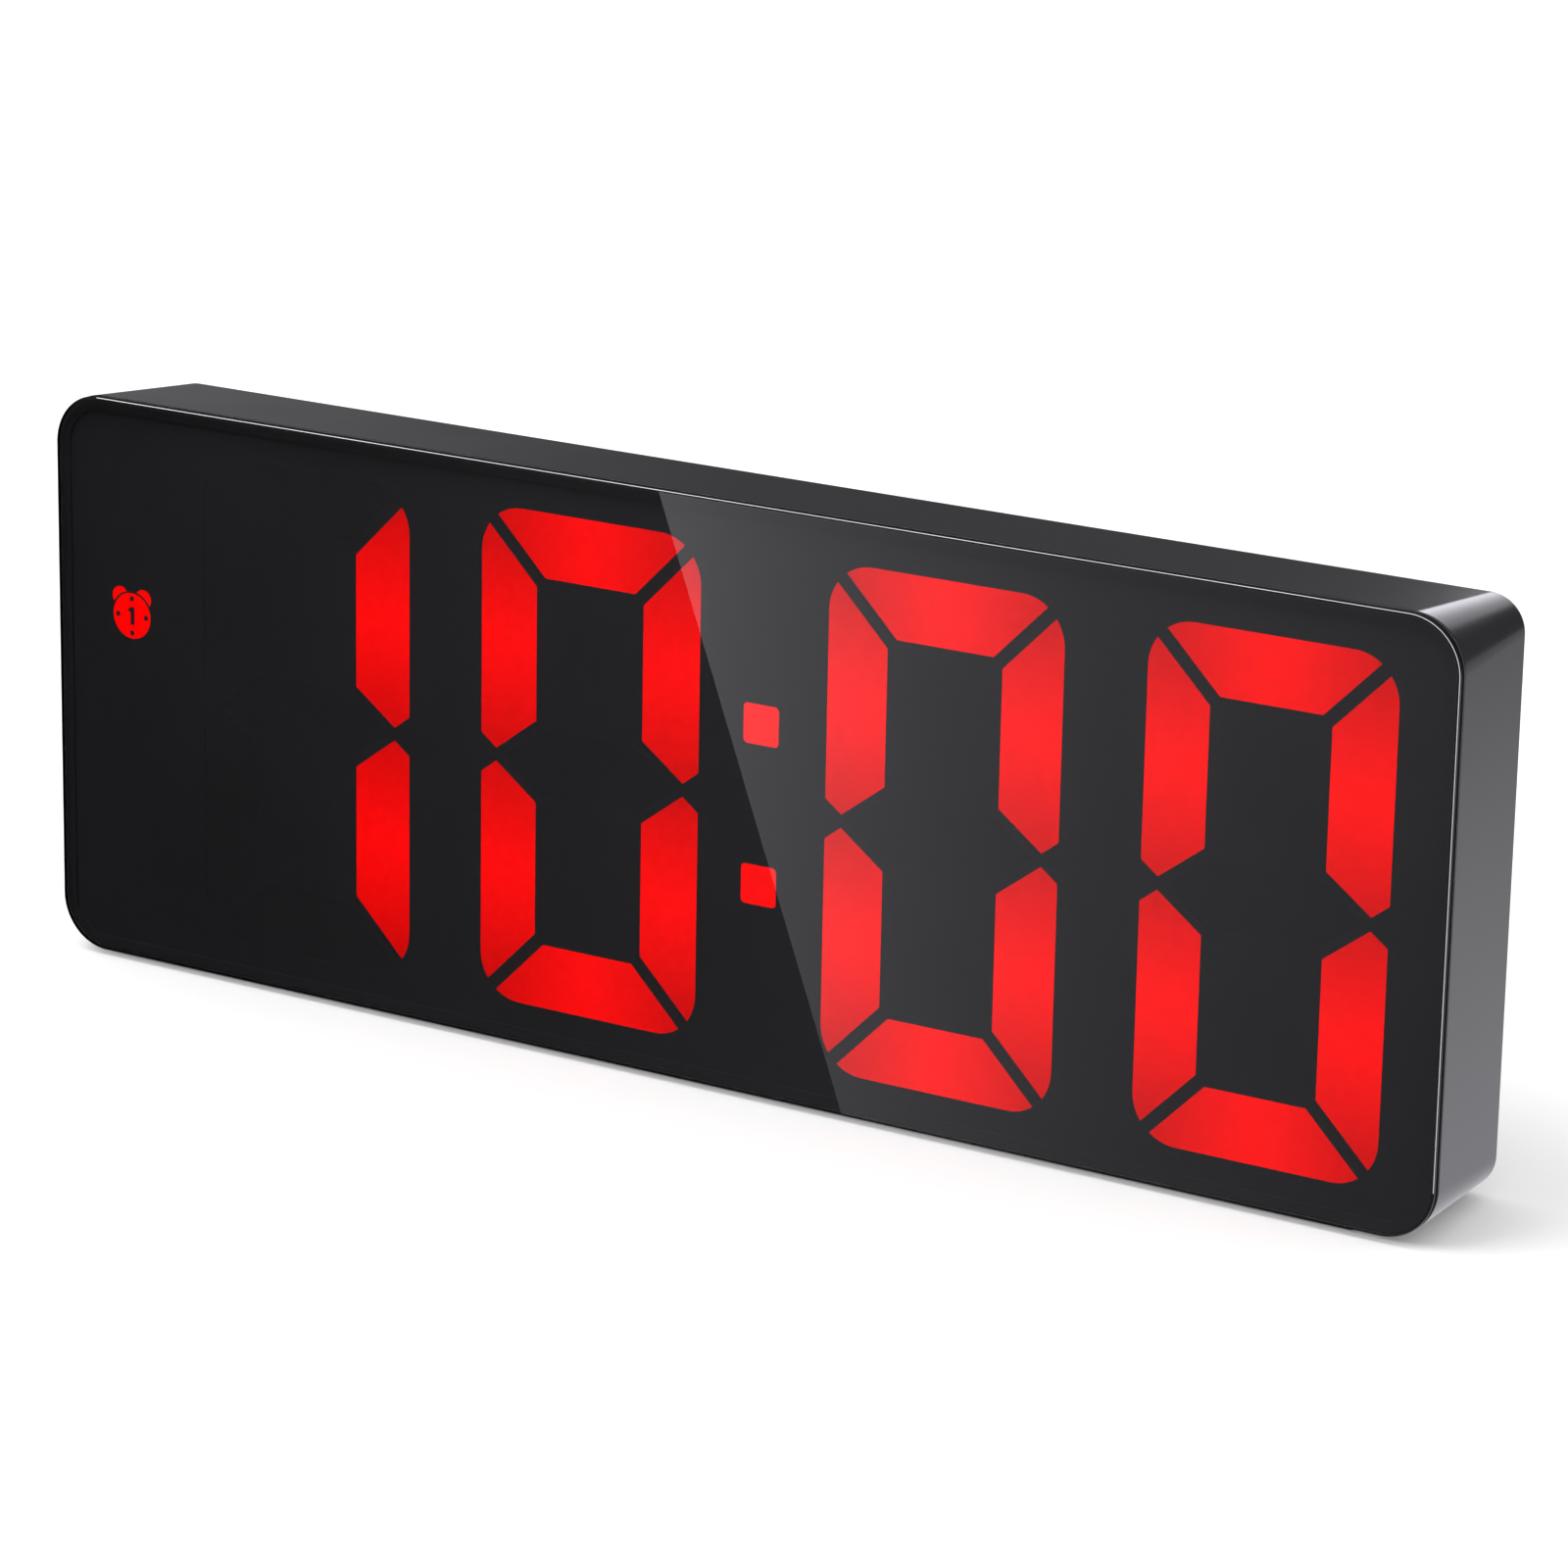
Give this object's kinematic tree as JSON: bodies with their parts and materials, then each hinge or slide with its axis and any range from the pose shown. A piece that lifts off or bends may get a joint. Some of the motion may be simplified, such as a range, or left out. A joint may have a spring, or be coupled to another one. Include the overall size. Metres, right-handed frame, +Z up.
{
  "type": "alarm clock",
  "caption": "Slim rectangular digital alarm clock with a smoked full-face lens, large red seven-segment digits, rear push buttons, a power inlet and a hinged battery door.",
  "frame": {"origin": "bottom centre of the whole clock, on the surface that it stands on", "axes": "+X to the right as seen from the display side, -Y out of the display, +Z up"},
  "size_m": [0.162, 0.018, 0.0606],
  "materials": {
    "case_plastic": "satin moulded, dark grey",
    "cover_plastic": "fine moulded texture",
    "smoked_acrylic": "polished",
    "black_tape": "matt",
    "black_print": "printed film",
    "diffuser": "frosted film",
    "lit_red": "glowing diffuser",
    "unlit": "dark diffuser",
    "reflector_plastic": "white moulded",
    "led_body": "clear resin",
    "circuit_board": "solder mask",
    "screw_steel": "zinc plated",
    "chip_plastic": "moulded",
    "crystal_can": "plain",
    "capacitor_sleeve": "shrunk sleeve",
    "resistor_body": "plain",
    "buzzer_plastic": "moulded",
    "switch_plastic": "moulded",
    "cable_white": "flat cable",
    "socket_steel": "nickel plated",
    "wire_red": "insulation",
    "wire_black": "insulation",
    "cell_sleeve": "plain printed sleeve",
    "spring_steel": "nickel plated",
    "contact_steel": "nickel plated",
    "button_plastic": "satin moulded",
    "foot_rubber": "matt"
  },
  "bodies": {
    "root": {"case_shell": "case_plastic", "rear_cover": "cover_plastic", "front_lens": "smoked_acrylic", "lens_tape": "black_tape", "display_mask": "black_print", "diffuser_film": "diffuser", "digit_1_segments": "lit_red", "digit_2_segments": "lit_red", "digit_3_segments": "lit_red", "digit_4_segments": "lit_red", "unlit_segments": "unlit", "colon_dots": "lit_red", "alarm_symbol": "lit_red", "segment_reflector": "reflector_plastic", "led_chips": "led_body", "main_pcb": "circuit_board", "reflector_screws": "screw_steel", "controller_chip": "chip_plastic", "clock_crystal": "crystal_can", "filter_capacitor": "capacitor_sleeve", "chip_resistors": "resistor_body", "buzzer": "buzzer_plastic", "button_board": "circuit_board", "tact_switches": "switch_plastic", "board_screws": "screw_steel", "button_cable": "cable_white", "usb_board": "circuit_board", "usb_socket": "socket_steel", "power_leads": "wire_red", "battery_cell_1": "cell_sleeve", "battery_cell_2": "cell_sleeve", "battery_cell_3": "cell_sleeve", "battery_springs": "spring_steel", "battery_contacts": "contact_steel", "battery_lead_red": "wire_red", "battery_lead_black": "wire_black", "case_screws": "screw_steel", "rubber_feet": "foot_rubber"},
    "battery_door": {"battery_door": "cover_plastic"},
    "mode_button": {"mode_button": "button_plastic"},
    "set_button": {"set_button": "button_plastic"},
    "down_button": {"down_button": "button_plastic"},
    "up_button": {"up_button": "button_plastic"},
    "snooze_button": {"snooze_button": "button_plastic"}
  },
  "joints": [
    {"name": "battery_door_hinge", "type": "hinge", "parent": "root", "child": "battery_door", "pos_m": [0, 0.009, 0.006], "axis": [-1, 0, 0], "range_deg": [0, 80]},
    {"name": "mode_button_press", "type": "slide", "parent": "root", "child": "mode_button", "axis": [0, -1, 0], "range_m": [0, 0.0004], "stiffness_N_per_m": 1500},
    {"name": "set_button_press", "type": "slide", "parent": "root", "child": "set_button", "axis": [0, -1, 0], "range_m": [0, 0.0004], "stiffness_N_per_m": 1500},
    {"name": "down_button_press", "type": "slide", "parent": "root", "child": "down_button", "axis": [0, -1, 0], "range_m": [0, 0.0004], "stiffness_N_per_m": 1500},
    {"name": "up_button_press", "type": "slide", "parent": "root", "child": "up_button", "axis": [0, -1, 0], "range_m": [0, 0.0004], "stiffness_N_per_m": 1500},
    {"name": "snooze_button_press", "type": "slide", "parent": "root", "child": "snooze_button", "axis": [0, -1, 0], "range_m": [0, 0.0004], "stiffness_N_per_m": 1500}
  ]
}
